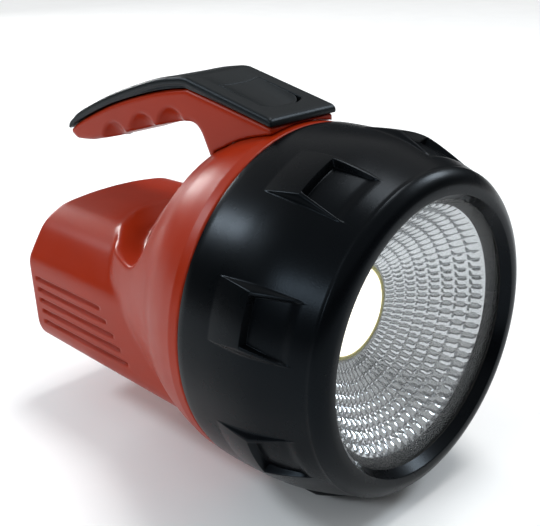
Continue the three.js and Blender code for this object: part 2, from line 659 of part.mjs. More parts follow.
add('driver_board', driverBoard(), BOARD_GREEN);
add('driver_coil', rodY(6.5, DRIVER.rearY + GAP, 16, -8, -6), COMPONENT);
add('driver_capacitor', rodY(4, DRIVER.rearY + GAP, 16, 8, -14), COMPONENT);
add('bulkhead', bulkhead(), BLACK_PLASTIC);
BULKHEAD_ANGLES.forEach((angle, index) => {
  const [x, z] = onRing(BULKHEAD_SCREW_RADIUS, angle);
  add(`bulkhead_screw_${index + 1}`, panScrew(2.6, 1.6, 1.25, 12).translate([x, 15.1, z]), STEEL);
});

// ---------------------------------------------------------------- battery pack

const cellPlaces = [0, 1].flatMap((row) => [-1.5, -0.5, 0.5, 1.5].map((column) => {
  return [column * CELL.pitch, CELL.lowRowZ + row * CELL.pitch];
}));
const packRear = CELL.frontY + CELL.length;
const packMiddleZ = CELL.lowRowZ + CELL.pitch / 2;

function cellHolder(startY, thickness) {
  const plate = block([-38.6, 38.6], [startY, startY + thickness], [packMiddleZ - 19.2, packMiddleZ + 18.9]);
  const clipped = plate.intersect(casingForm(WALL + 2 * GAP));
  return cut(clipped, ...cellPlaces.map(([x, z]) => {
    return rodY(CELL.radius + 0.35, startY - 1, startY + thickness + 1, x, z);
  }));
}

cellPlaces.forEach(([x, z], index) => {
  add(`cell_${index + 1}`, rodY(CELL.radius, CELL.frontY, packRear, x, z), CELL_WRAP);
});
add('cell_holder_front', cellHolder(27.5, 4), BLACK_PLASTIC);
add('cell_holder_rear', cellHolder(packRear - 6, 4), BLACK_PLASTIC);

function busStrip(halfWidth, middleX, startY) {
  const reach = 13;
  return block([middleX - halfWidth, middleX + halfWidth], [startY, startY + 0.6],
    [packMiddleZ - reach, packMiddleZ + reach]);
}

add('bus_strip_rear', busStrip(33, 0, packRear + GAP), NICKEL);
add('bus_strip_positive', busStrip(14, -19, CELL.frontY - GAP - 0.6), NICKEL);
add('bus_strip_negative', busStrip(14, 19, CELL.frontY - GAP - 0.6), NICKEL);
add('protection_board', join(block([-28, 28], [23.2, 24.8], [-31, -1]),
  block([-6, 6], [21.4, 23.4], [-22, -12])), BOARD_GREEN);
[-1, 1].forEach((side, index) => {
  const pad = block([side * 25 - 10, side * 25 + 10], [packRear + 1.2, REAR_Y - WALL - GAP], [-32, 1]);
  add(`battery_pad_${index + 1}`, pad, FOAM);
});

// ---------------------------------------------------------------- charging socket and its cap

function chargeSocket() {
  const { z, floorY, bore } = SOCKET;
  const body = join(rodY(5.4, floorY + GAP, floorY + 1.4, 0, z), rodY(4, 98.6, floorY + 1, 0, z));
  return join(cut(body, rodY(bore, 100.4, floorY + 2, 0, z)), rodY(0.7, 100, floorY, 0, z, 8));
}

function chargeNut() {
  const hex = toSolid(new THREE.CylinderGeometry(6.4, 6.4, 2, 6).translate(0, 100.4, SOCKET.z));
  return cut(hex, rodY(4.35, 99, 102, 0, SOCKET.z));
}

const CAP_FACE_Y = SOCKET.floorY + 1.4 + GAP;

function socketCap() {
  const { z, hingeZ } = SOCKET;
  const disc = rodY(6.6, CAP_FACE_Y, CAP_FACE_Y + 2, 0, z, 24);
  const plug = cut(rodY(2.1, CAP_FACE_Y - 2.6, CAP_FACE_Y + 0.5, 0, z),
    rodY(1.25, CAP_FACE_Y - 3, CAP_FACE_Y - 0.2, 0, z));
  const strap = block([-3.4, 3.4], [CAP_FACE_Y + 0.3, CAP_FACE_Y + 1.7], [z + 4, hingeZ - 0.4]);
  const pullTab = block([-2.6, 2.6], [CAP_FACE_Y + 0.3, CAP_FACE_Y + 1.9], [z - 7.4, z - 5]);
  return join(disc, plug, strap, pullTab, rodX(0.95, -3.4, 3.4, CAP_FACE_Y + 1, hingeZ));
}

function capAnchor() {
  const { hingeZ, floorY } = SOCKET;
  const foot = block([-6.4, 6.4], [floorY + GAP, floorY + 1.3], [hingeZ + 1.5, hingeZ + 4.6]);
  const ears = [-1, 1].map((side) => {
    return block([side * 5.1 - 1.2, side * 5.1 + 1.2], [floorY + GAP, CAP_FACE_Y + 2],
      [hingeZ - 1.4, hingeZ + 4.6]);
  });
  const pins = [-5, 3.8].map((startX) => rodX(0.5, startX, startX + 1.2, CAP_FACE_Y + 1, hingeZ, 8));
  return join(foot, ...ears, ...pins);
}

add('charge_socket', chargeSocket(), COMPONENT);
add('charge_nut', chargeNut(), NICKEL);
add('cap_anchor', capAnchor(), RUBBER);
add('socket_cap', socketCap(), RUBBER);

// ---------------------------------------------------------------- leads

const LEAD_RADIUS = 0.9;

function lead(name, route, steps) {
  add(name, tube(route.map(([x, y, z]) => new THREE.Vector3(x, y, z)), LEAD_RADIUS, steps), LEAD);
}

lead('switch_lead', [[0, 28.2, 54], [0, 28, 47], [0, 20, 49.6], [0, 16, 49], [0, 11.6, 42], [0, 9.6, 28],
  [0, 9.4, 10.5]], 14);
lead('led_lead', [[0, -18.9, 21.4], [0, -15, 22.4], [0, 0, 22.4], [0, 8, 21], [3, 9.4, 16],
  [4, 9.4, 10.5]], 14);
lead('battery_lead', [[0, 9.4, -29.4], [0, 12, -30.6], [0, 18, -30], [0, 21, -31], [0, 24, -32.4]], 10);
lead('charge_lead', [[0, 98.2, -26], [0, 95.4, -24], [0, 94.6, -10], [0, 92, 4.6], [0, 80, 6.2], [0, 30, 6.2],
  [0, 25, 4], [0, 24, -0.6]], 22);

export default lamp;
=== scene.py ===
"""Looks of the firefighter flashlight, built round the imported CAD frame.

Shapes are worked out in millimetres in the lamp's own axes: the beam leaves along -Y, y counts
rearward from the bezel's rear rim, and x and z count from the beam axis. place() moves them into the
shared frame, in metres, whose origin is on the rear face of the battery box.
"""

import json
import math

import bpy
import numpy as np
from mathutils import Matrix, Vector


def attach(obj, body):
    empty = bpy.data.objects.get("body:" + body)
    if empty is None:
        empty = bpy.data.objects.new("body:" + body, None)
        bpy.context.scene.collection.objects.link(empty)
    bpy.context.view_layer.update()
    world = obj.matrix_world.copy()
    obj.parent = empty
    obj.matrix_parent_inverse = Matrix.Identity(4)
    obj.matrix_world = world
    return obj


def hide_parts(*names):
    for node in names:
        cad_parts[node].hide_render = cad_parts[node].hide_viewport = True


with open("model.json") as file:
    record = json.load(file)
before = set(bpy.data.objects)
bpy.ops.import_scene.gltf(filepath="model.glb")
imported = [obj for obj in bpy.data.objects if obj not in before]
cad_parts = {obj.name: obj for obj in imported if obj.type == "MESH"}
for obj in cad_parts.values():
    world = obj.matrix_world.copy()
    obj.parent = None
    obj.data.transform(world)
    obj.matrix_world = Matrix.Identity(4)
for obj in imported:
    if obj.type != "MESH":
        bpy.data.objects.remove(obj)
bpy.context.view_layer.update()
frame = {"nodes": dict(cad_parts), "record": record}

# ---------------------------------------------------------------- dimensions, in millimetres

REAR_Y = 110.0
GAP = 0.3
WALL = 2.8

BOX_HALF_WIDTH = 43.3
BOX_FOOT_HALF_WIDTH = 42.0
BOX_BOTTOM = -37.2
BOX_MIDDLE_Z = -9.5
BOX_DRAFT = 0.0005
GROOVE_COUNT, GROOVE_PITCH, GROOVE_DEPTH = 5, 4.5, 1.1
GROOVE_TOP_Z, GROOVE_FRONT_Y, GROOVE_REAR_Y = -9.2, 63, 105
SOCKET_Z, SOCKET_RADIUS = -26, 4.3
RECESS_HALF_WIDTH, RECESS_Y, RECESS_Z = 9.6, 105, (-34.0, -8.4)
BACKING_Y = 101.8  # front of the thicker wall behind the recess
BOX_TOP = [(0, 18.2), (10.5, 17.85), (21, 16.8), (26.1, 15.7), (30.5, 13.6), (34.4, 10.8), (37.5, 7),
           (43.3, -2), (49, -11)]
FLARE = [(5.5, 59.05), (12, 57.5), (20, 54.7), (29, 51), (38, 47.6), (48, 44.4), (56, 42), (59.2, 39.7),
         (63.2, 36.4), (68.5, 32.5), (72.1, 28.1), (76, 22), (79, 12)]
DOME = [(5.5, 59.05), (12, 57.5), (20, 54.8), (28, 49.6), (36, 44.3), (46, 36.8), (56, 28.6), (63.5, 20),
        (68.5, 9), (70, 0)]
CHANNEL = [(29.5, 60), (30.2, 40), (31.2, 31), (32.3, 25.5), (34, 20.6), (37, 16.2), (41, 13), (45, 12.3),
           (50, 12.9), (58, 14.6), (66, 16.3), (74, 18.2), (80, 20), (95, 26)]
COLLAR_RADIUS = 59.6
COLLAR_Y = (0.4, 5.2)
NECK_RADIUS, NECK_BORE, NECK_FRONT_Y = 55.6, 52.4, -15.3
SEAL_GROOVE_RADIUS, SEAL_GROOVE_Y = 53.6, (-3.7, -0.7)
LEDGE_RADIUS, LEDGE_Y = 47, (-12, -9.4)
THREAD_PITCH = 3.5
BEZEL_BORE = 56.3

SEAM = [(-2, 59.4), (3.4, 60.4), (20, 63.6), (40, 67.3), (45, 67.6), (61.4, 64.3), (85.4, 56.9),
        (105.7, 48.2), (114.2, 43.2), (118, 40)]
NECK_REAR = [(28.2, 38), (35, 50.8)]
UNDERSIDE = [(0, 57.3), (38.5, 57.1), (46, 56.2), (57, 53.6), (74.4, 48.6), (87, 44.3), (100, 41.1),
             (109.5, 39.7), (113, 41.2), (114.3, 43.4), (115, 60)]
COVER_TOP = [(2.4, 63.3), (42.6, 71.8), (47.4, 71.5), (61, 68.8), (85, 60.9), (105.1, 52.2), (111.4, 48.2),
             (114.3, 45.4), (115, 40)]
ARM_HALF_WIDTH, COVER_HALF_WIDTH = 15.2, 15.8
ARM_FRONT_Y, COVER_FRONT_Y, TIP_Y = 3.4, 2.9, 114.4
DIMPLES = [(84.5, 45.2), (67.5, 50.8), (51.5, 55)]  # y, and the underside's z there
DIMPLE_X, DIMPLE_RADIUS = 21.5, 10
SCREW_HOLES = [(57, 53.8), (98, 41.4)]  # y, and the underside's z there
# Half width, front y, rear y and floor z of the wells for the button and the switch.
ARM_WELLS = [(10.6, 9.8, 20.5, 57.4), (10.6, 20.4, 40, 60.6), (6.6, 22.8, 34.2, 54.3)]

BUTTON_FRONT_Y, BUTTON_REAR_Y, BUTTON_HALF_WIDTH, BUTTON_NOSE = 11.0, 33.0, 9.2, 13.8
DISH_DEPTH, DISH_LENGTH, DISH_HALF_WIDTH = 2.6, 36, 9.7
BUTTON_UNDER_Z, BUTTON_UNDER_SLOPE = 61.0, 0.245

NOTCH_COUNT, NOTCH_FIRST = 8, 18
FINE_STEP = 0.13  # between the bezel's rows and columns at the walls of a notch
HALF_PITCH = 23.2  # from the middle of a notch to half way to the next one, round the barrel
WEDGE_Y, CREST_Y, WEDGE_END_Y = -13.5, -26.8, -41.4
WEDGE = [(WEDGE_Y, 0.0), (CREST_Y, 1.9), (WEDGE_END_Y, 0.0)]
FOOT_HALF_WIDTH = [(WEDGE_END_Y, 10.2), (CREST_Y, 10.7), (WEDGE_Y, 9.5)]
TOP_HALF_WIDTH = [(WEDGE_END_Y, 9.9), (CREST_Y, 7.3), (WEDGE_Y, 9.1)]
BARREL = [(0, 60), (-7, 60.2), (-18, 60), (-28, 58.9), (-38, 56.2), (-46.7, 53.3)]
HUB_RADIUS, RIM_RADIUS, HUB_Y, FOCUS = 17.4, 41.2, -18.9, 14.5
LENS_RADIUS = 49.8
PILLOW_HEIGHT = 0.62


# ---------------------------------------------------------------- shape tools

def place(points):
    """Lamp millimetres to the shared frame in metres."""
    return (np.asarray(points, float) - (0, REAR_Y, 0)) / 1000


def rounded(points, steps=10):
    """A Catmull-Rom curve through the points."""
    p = np.array(points, float)
    p = np.vstack([2 * p[0] - p[1], p, 2 * p[-1] - p[-2]])
    t = np.linspace(0, 1, steps, endpoint=False)[:, None]
    parts = []
    for a, b, c, d in zip(p, p[1:], p[2:], p[3:]):
        square, cube = 2 * a - 5 * b + 4 * c - d, 3 * b - a - 3 * c + d
        parts.append(0.5 * (2 * b + (c - a) * t + square * t**2 + cube * t**3))
    return np.vstack([*parts, p[-2]])


class Line:
    """A smooth line v(u). over() is the distance of (u, v) above it, negative below."""

    def __init__(self, points, smooth=True):
        dense = rounded(points) if smooth else np.array(points, float)
        dense = dense[np.argsort(dense[:, 0])]
        self.u = dense[:, 0] + np.arange(len(dense)) * 1e-7
        self.v = dense[:, 1]
        self.slope = np.gradient(self.v, self.u)

    def at(self, u):
        return np.interp(u, self.u, self.v)

    def over(self, u, v):
        return (v - self.at(u)) / np.sqrt(1 + np.interp(u, self.u, self.slope) ** 2)


def both(a, b, edge):
    """Distance to what lies in both solids, with the edge between them rounded."""
    blend = np.maximum(edge - np.abs(a - b), 0)
    return np.maximum(a, b) + blend * blend / (4 * edge)


def either(a, b, edge):
    """Distance to the two solids joined, with a fillet between them."""
    return -both(-a, -b, edge)


def block(point, low, high, edge=0.4):
    """Distance to a box with slightly rounded edges. None in low or high leaves that side open."""
    found = None
    for value, a, b in zip(point, low, high):
        for side in ([] if a is None else [a - value]) + ([] if b is None else [value - b]):
            found = side if found is None else both(found, side, edge)
    return found


def skin(field, axes):
    """Quad skin of the solid where the field is below zero: one point in each grid cell that the surface
    crosses, moved onto the surface, and one quad round each grid edge that it crosses."""
    x, y, z = axes
    value = np.asarray(field(x[:, None, None], y[None, :, None], z[None, None, :]), np.float32)
    inside = value < 0
    shape = [n - 1 for n in inside.shape]
    count = np.zeros(shape, np.int8)
    for i, j, k in np.ndindex(2, 2, 2):
        count += inside[i:i + shape[0], j:j + shape[1], k:k + shape[2]]
    cells = np.argwhere((count > 0) & (count < 8))
    number = np.full(shape, -1, np.int32)
    number[tuple(cells.T)] = np.arange(len(cells))

    def corner(index):
        return np.stack([x[index[:, 0]], y[index[:, 1]], z[index[:, 2]]], 1)

    total = np.zeros((len(cells), 3))
    hits = np.zeros((len(cells), 1))
    for axis in range(3):
        for b, c in np.ndindex(2, 2):
            start = np.insert([b, c], axis, 0)
            end = np.insert([b, c], axis, 1)
            u = value[tuple((cells + start).T)][:, None]
            w = value[tuple((cells + end).T)][:, None]
            crossing = (u < 0) != (w < 0)
            share = np.where(crossing, u / np.where(crossing, u - w, 1), 0)
            low, high = corner(cells + start), corner(cells + end)
            total += crossing * (low + share * (high - low))
            hits += crossing
    points = settle(total / hits, field)

    quads = []
    for axis, (a, b) in enumerate([(1, 2), (2, 0), (0, 1)]):
        lower = np.take(inside, range(inside.shape[axis] - 1), axis)
        upper = np.take(inside, range(1, inside.shape[axis]), axis)
        edges = np.argwhere(lower != upper)
        outward = lower[tuple(edges.T)]
        ring = []
        for da, db in ((1, 1), (0, 1), (0, 0), (1, 0)):
            cell = edges.copy()
            cell[:, a] -= da
            cell[:, b] -= db
            ring.append(number[tuple(cell.T)])
        ring = np.stack(ring, 1)
        quads.append(np.where(outward[:, None], ring, ring[:, ::-1]))
    return points, np.vstack(quads)


def settle(points, field, rounds=3):
    """Moves points near the surface onto it."""
    step = 0.02
    for _ in range(rounds):
        now = field(*points.T)
        ahead = [field(*(points + step * axis).T) for axis in np.eye(3)]
        behind = [field(*(points - step * axis).T) for axis in np.eye(3)]
        slope = (np.stack(ahead, 1) - np.stack(behind, 1)) / (2 * step)
        shift = now / np.maximum((slope**2).sum(1), 0.3)
        points = points - np.clip(shift, -0.4, 0.4)[:, None] * slope
    return points


def steps(low, high, coarse, fine=(), size=0.4):
    """Grid positions from low to high, closer together within the fine stretches."""
    positions = [low]
    while positions[-1] < high:
        close = any(a - coarse <= positions[-1] <= b for a, b in fine)
        positions.append(positions[-1] + (size if close else coarse))
    return np.array(positions)


def piece(name, points, faces, body, slot, nodes, auto_smooth=None):
    """A mesh from points in lamp millimetres, riding on a CAD body in place of CAD nodes."""
    mesh = bpy.data.meshes.new(name)
    mesh.from_pydata(place(points).tolist(), [], faces.tolist())
    mesh.polygons.foreach_set("use_smooth", [True] * len(mesh.polygons))
    mesh.update()
    if auto_smooth is not None:
        mesh.set_sharp_from_angle(angle=math.radians(auto_smooth))
    made = bpy.data.objects.new(name, mesh)
    bpy.context.scene.collection.objects.link(made)
    made.data.materials.append(FINISHES[slot])
    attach(made, body)
    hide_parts(*nodes)


def ring_faces(rows, columns):
    """Quads between rows of points that run round the beam axis. The last row joins the first."""
    r = np.arange(rows)[:, None]
    c = np.arange(columns)[None, :]
    here = r * columns + c
    beside = r * columns + (c + 1) % columns
    after = ((r + 1) % rows) * columns
    return np.stack([here, beside, after + (c + 1) % columns, after + c], -1).reshape(-1, 4)


def turned(radii, ys, angles):
    """Points at each radius (rows by columns), row y and column angle, which counts from straight up
    towards +X."""
    radii = np.broadcast_to(radii, (len(ys), np.shape(angles)[-1]))
    x = radii * np.sin(angles)
    z = radii * np.cos(angles)
    y = np.broadcast_to(np.asarray(ys)[:, None], radii.shape) if np.ndim(ys) == 1 else ys
    return np.stack([x, y, z], -1).reshape(-1, 3)


def rise(t):
    """0 to 1 along an S-curve as t goes from 0 to 1."""
    t = np.clip(t, 0, 1)
    return t * t * (3 - 2 * t)


# ---------------------------------------------------------------- finishes

def colour(hex_code):
    """An sRGB hex colour as linear RGBA."""
    parts = [int(hex_code[i:i + 2], 16) / 255 for i in (0, 2, 4)]
    return tuple(((p + 0.055) / 1.055) ** 2.4 if p > 0.04 else p / 12.92 for p in parts) + (1,)


def finish(name, base, worn, roughness, metallic=0.0, grain=1400, bump=0.15, spread=0.08, blotch=26,
           specular=0.5):
    """A procedural finish: fine grain in the normal, slow blotches in the colour and the roughness."""
    made = bpy.data.materials.new(name)
    made.use_nodes = True
    tree = made.node_tree
    shader = tree.nodes["Principled BSDF"]
    shader.inputs["Metallic"].default_value = metallic
    shader.inputs["Specular IOR Level"].default_value = specular
    where = tree.nodes.new("ShaderNodeTexCoord")

    def noise(scale, detail):
        node = tree.nodes.new("ShaderNodeTexNoise")
        node.inputs["Scale"].default_value = scale
        node.inputs["Detail"].default_value = detail
        tree.links.new(where.outputs["Object"], node.inputs["Vector"])
        return node.outputs["Fac"]

    slow, fine = noise(blotch, 4), noise(grain, 3)
    ramp = tree.nodes.new("ShaderNodeValToRGB")
    ramp.color_ramp.elements[0].position = 0.3
    ramp.color_ramp.elements[0].color = colour(worn)
    ramp.color_ramp.elements[1].position = 0.7
    ramp.color_ramp.elements[1].color = colour(base)
    tree.links.new(slow, ramp.inputs["Fac"])
    tree.links.new(ramp.outputs["Color"], shader.inputs["Base Color"])
    rough = tree.nodes.new("ShaderNodeMapRange")
    rough.inputs["To Min"].default_value = max(roughness - spread, 0.02)
    rough.inputs["To Max"].default_value = min(roughness + spread, 1)
    tree.links.new(noise(3.3 * blotch, 5), rough.inputs["Value"])
    tree.links.new(rough.outputs["Result"], shader.inputs["Roughness"])
    relief = tree.nodes.new("ShaderNodeBump")
    relief.inputs["Strength"].default_value = bump
    relief.inputs["Distance"].default_value = 0.0001
    tree.links.new(fine, relief.inputs["Height"])
    tree.links.new(relief.outputs["Normal"], shader.inputs["Normal"])
    return made


FINISHES = {
    "red_plastic": finish("red_plastic", "962504", "8b2103", 0.36, grain=1500, bump=0.12, specular=0.17),
    "black_plastic": finish("black_plastic", "040507", "030405", 0.28, grain=1600, bump=0.14, spread=0.05,
                            specular=0.1),
    "grip_black": finish("grip_black", "0d1010", "0a0c0c", 0.4, grain=2600, bump=0.35, specular=0.2),
    "clear_lens": finish("clear_lens", "ffffff", "f8fafb", 0.03, spread=0.01, bump=0.01),
    "mirror_coat": finish("mirror_coat", "c6c9cb", "bcc0c2", 0.1, metallic=0.95, bump=0.05, spread=0.04),
    "rubber": finish("rubber", "161616", "101010", 0.8, grain=2200, bump=0.4),
    "aluminium": finish("aluminium", "b9bcbf", "a9acb0", 0.38, metallic=0.95, grain=2400, bump=0.3),
    "steel": finish("steel", "b0b2b5", "9da0a3", 0.3, metallic=1.0, grain=2400, bump=0.2),
    "nickel": finish("nickel", "cbc7bc", "bdb8ab", 0.28, metallic=1.0, bump=0.1),
    "board_green": finish("board_green", "1c5a35", "174d2d", 0.5, bump=0.1),
    "board_white": finish("board_white", "e9e9e4", "dfdfd8", 0.55, bump=0.1),
    "phosphor": finish("phosphor", "fff6d0", "fff0bc", 0.5, bump=0.1),
    "dam_yellow": finish("dam_yellow", "a8a04a", "9b9342", 0.45, bump=0.1),
    "cell_wrap": finish("cell_wrap", "2f6f9c", "2a648d", 0.4, bump=0.05),
    "component": finish("component", "2b2b2e", "232326", 0.5, bump=0.2),
    "foam": finish("foam", "3c3c3c", "303030", 0.95, grain=700, bump=1.0),
    "lead": finish("lead", "7d1f1f", "6d1919", 0.5, bump=0.1),
}


def make_clear():
    """The lens: see-through, with only a thin surface gloss."""
    shader = FINISHES["clear_lens"].node_tree.nodes["Principled BSDF"]
    shader.inputs["Alpha"].default_value = 0.06


def paint_blue_reflection():
    """Painted reflection tint: the gloss of the black plastic is tinted cool blue in the material, standing
    in for the cool light of the sky.
    """
    for slot in ("black_plastic", "grip_black"):
        shader = FINISHES[slot].node_tree.nodes["Principled BSDF"]
        shader.inputs["Specular Tint"].default_value = (0.72, 0.86, 1, 1)


def make_glow():
    """The phosphor gives off the beam's white light."""
    shader = FINISHES["phosphor"].node_tree.nodes["Principled BSDF"]
    shader.inputs["Emission Color"].default_value = (1, 0.97, 0.92, 1)
    shader.inputs["Emission Strength"].default_value = 1.4


make_clear()
paint_blue_reflection()
make_glow()

# ---------------------------------------------------------------- casing

box_top = Line(BOX_TOP)
flare_line = Line(FLARE)
dome_line = Line(DOME)
channel_line = Line(CHANNEL)


def box_side(z):
    """Half the width of the box, which tapers below its shoulder."""
    share = np.clip((z - BOX_BOTTOM) / (-2 - BOX_BOTTOM), 0, 1)
    return BOX_FOOT_HALF_WIDTH + (BOX_HALF_WIDTH - BOX_FOOT_HALF_WIDTH) * share


def box_form(x, y, z):
    """The battery box, which grows slightly towards the head."""
    growth = 1 + BOX_DRAFT * (REAR_Y - y)
    across = np.abs(x) / growth
    height = BOX_MIDDLE_Z + (z - BOX_MIDDLE_Z) / growth
    walls = both(across - box_side(height), BOX_BOTTOM - height, 9.4)
    around = both(walls, box_top.over(across, height), 1.6)
    return both(both(around, y - REAR_Y, 2.8), 14 - y, 1)


def head_form(line, radius, y):
    """The back of the head, turned round the beam axis."""
    return both(both(line.over(y, radius), COLLAR_Y[1] - 1 - y, 0.5), y - 88, 0.5)


def channel_form(y, z):
    """The room for fingers: everything above a floor that rises steeply at the back of the head."""
    return both(-channel_line.over(y, z), 29.5 - y, 0.5)


def casing_form(x, y, z):
    """The moulded casing as one solid lump, before it is hollowed out."""
    radius = np.hypot(x, z)
    behind = either(box_form(x, y, z), head_form(flare_line, radius, y), 0.8)
    behind = both(behind, -channel_form(y, z), 1.2)
    return either(behind, head_form(dome_line, radius, y), 1.4)


def body_field(x, y, z):
    """The casing moulding: hollow, with its collar, threaded neck, ledge for the heat sink, recess for the
    charging socket and grooves along its sides."""
    radius = np.hypot(x, z)
    angle = np.arctan2(x, z)
    collar = both(both(radius - COLLAR_RADIUS, COLLAR_Y[0] - y, 0.8), y - COLLAR_Y[1], 0.7)
    thread = 0.5 * (1 - np.cos(2 * np.pi * y / THREAD_PITCH - angle))
    crest = NECK_RADIUS - 0.8 + 0.8 * thread * rise((y - NECK_FRONT_Y) / 3) * rise((-4.6 - y) / 1.5)
    neck = both(both(radius - crest, NECK_FRONT_Y - y, 0.8), y - 3, 0.5)
    casing = casing_form(x, y, z)
    solid = either(either(casing, collar, 0.3), neck, 0.4)
    groove_front, groove_rear = SEAL_GROOVE_Y
    seal_groove = both(both(SEAL_GROOVE_RADIUS - radius, groove_front - y, 0.2), y - groove_rear, 0.2)
    solid = both(solid, -seal_groove, 0.2)
    bore = both(both(radius - NECK_BORE, NECK_FRONT_Y - 3 - y, 0.3), y - 6.8, 0.3)
    inside = either(casing + WALL, bore, 0.5)
    ledge_front, ledge_rear = LEDGE_Y
    ledge = both(both(LEDGE_RADIUS - radius, ledge_front - y, 0.3), y - ledge_rear, 0.3)
    ledge = both(ledge, radius - NECK_BORE - 1, 0.3)
    bottom, top = RECESS_Z
    low, high = (None, BACKING_Y, bottom - 2), (RECESS_HALF_WIDTH + 3, REAR_Y - 1.5, top + 2.8)
    backing = block((np.abs(x), y, z), low, high)
    shell = either(either(both(solid, -inside, 0.3), ledge, 0.3), backing, 0.5)
    recess = block((np.abs(x), y, z), (None, RECESS_Y, bottom), (RECESS_HALF_WIDTH, REAR_Y + 2, top), 0.5)
    socket_hole = both(np.hypot(x, z - SOCKET_Z) - SOCKET_RADIUS, 100 - y, 0.1)
    shell = both(both(shell, -recess, 0.5), -socket_hole, 0.2)
    for index in range(GROOVE_COUNT):
        rear, front = GROOVE_REAR_Y - 0.6 * index, GROOVE_FRONT_Y - 3.6 * index
        middle = GROOVE_TOP_Z - GROOVE_PITCH * index
        floor = box_side(z) * (1 + BOX_DRAFT * (REAR_Y - y)) - GROOVE_DEPTH
        groove = both(both(np.abs(z - middle) - 0.8, floor - np.abs(x), 0.5), y - rear, 0.4)
        groove = both(groove, front - y, 0.4)
        shell = both(shell, -groove, 0.4)
    return shell


def add_body():
    sides = ((-44.2, -40.6), (40.6, 44.2))
    axes = (
        steps(-62, 62, 1.6, sides, 0.62),
        steps(-18, 113, 1.45, ((-0.6, 6.4), (106.4, 111)), 0.45),
        steps(-62, 62, 1.45, ((-29, -7),), 0.45),
    )
    points, faces = skin(body_field, axes)
    piece("casing", points, faces, "housing", "red_plastic", ["body_shell"])


# ---------------------------------------------------------------- handle and thumb button

seam_line = Line(SEAM)
underside_line = Line(UNDERSIDE, smooth=False)
cover_line = Line(COVER_TOP[:2] + [tuple(p) for p in rounded(COVER_TOP[1:], 6)[1:]], smooth=False)


def handle_side(y, z):
    """The grip seen from the side, below the seam with its cover. Its neck leans back and meets the
    underside in a wide fillet."""
    (y0, z0), (y1, z1) = NECK_REAR
    neck = ((y - y0) * (z1 - z0) - (z - z0) * (y1 - y0)) / math.hypot(y1 - y0, z1 - z0)
    under = either(neck, -underside_line.over(y, z), 5)
    return both(seam_line.over(y, z), under, 0.6)


def arm_field(x, y, z):
    """The grip moulding: finger dimples along both lower edges, wells for the button and the switch, and
    screw holes in its underside."""
    radius = np.hypot(x, z)
    side = both(both(handle_side(y, z), ARM_FRONT_Y - y, 0.8), y - TIP_Y, 0.8)
    arm = both(side, np.abs(x) - ARM_HALF_WIDTH, 2.2)
    arm = both(arm, 40 - z, 1)
    for y0, underside in DIMPLES:
        away = np.sqrt((np.abs(x) - DIMPLE_X) ** 2 + (y - y0) ** 2 + (z - underside + 2.4) ** 2)
        ball = away - DIMPLE_RADIUS
        arm = both(arm, -ball, 0.7)
    head = both(casing_form(x, y, z), 5 - y, 0.2)
    collar = both(radius - COLLAR_RADIUS, y - COLLAR_Y[1], 0.2)
    arm = both(arm, GAP - np.minimum(head, collar), 0.15)
    for half_width, front, rear, floor in ARM_WELLS:
        well = block((np.abs(x), y, z), (None, front, floor), (half_width, rear, None))
        arm = both(arm, -well, 0.3)
    for y0, underside in SCREW_HOLES:
        arm = both(arm, -both(np.hypot(x, y - y0) - 3.3, z - underside - 2.4, 0.2), 0.4)
    return arm


def dish_floor(x, y):
    """Height of the thumb dish: deepest behind the nose of the button, and out at the top of the grip."""
    depth = DISH_DEPTH * np.clip(1 - (y - BUTTON_FRONT_Y) / DISH_LENGTH, 0, 1)
    return cover_line.at(y) - depth * np.maximum(1 - np.abs(x / DISH_HALF_WIDTH) ** 3, -0.5) + 0.02


def button_plan(x, y, front, side, corner):
    """Outline of the thumb button: a round nose, straight sides and a square back. Front and side are how
    much it is grown there."""
    nose = np.hypot(x, y - BUTTON_FRONT_Y - BUTTON_NOSE) - BUTTON_NOSE - front
    nose = np.where(y < BUTTON_FRONT_Y + BUTTON_NOSE, nose, -BUTTON_NOSE)
    return both(nose, both(np.abs(x) - BUTTON_HALF_WIDTH - side, y - BUTTON_REAR_Y - side, 0.4), corner)


def cover_field(x, y, z):
    """The black cover, with a fine groove below its top edges, the thumb dish and the button's opening."""
    plan = both(np.abs(x) - COVER_HALF_WIDTH, COVER_FRONT_Y - y, 0.9)
    top = both(both(cover_line.over(y, z), plan, 2.0), y - TIP_Y, 0.8)
    cover = both(top, GAP - seam_line.over(y, z), 0.5)
    bead = np.hypot(cover_line.over(y, z) + 3.1, (np.abs(x) - COVER_HALF_WIDTH) * 1.3) - 0.55
    cover = both(cover, -bead, 0.3)
    ahead = button_plan(x, y, 1.4, 0.15, 0.2)
    reach = np.minimum(ahead, both(19 - y, np.abs(x) - 11, 1.5))
    cover = both(cover, -both(dish_floor(x, y) - z, reach, 0.2), 0.35)
    return both(cover, -both(ahead, 50 - z, 0.2), 0.25)


def button_field(x, y, z):
    """The thumb button, which carries the dish across its opening and has a raised lip at its nose."""
    plan = button_plan(x, y, 0, 0, 1.6)
    lip = 0.9 * rise((BUTTON_FRONT_Y + 3.4 - y) / 3.4)
    top = both(plan, z - dish_floor(x, y) - 0.15 - lip, 0.5)
    under = BUTTON_UNDER_Z + BUTTON_UNDER_SLOPE * (y - BUTTON_FRONT_Y - 1)
    return both(top, under - z, 0.3)


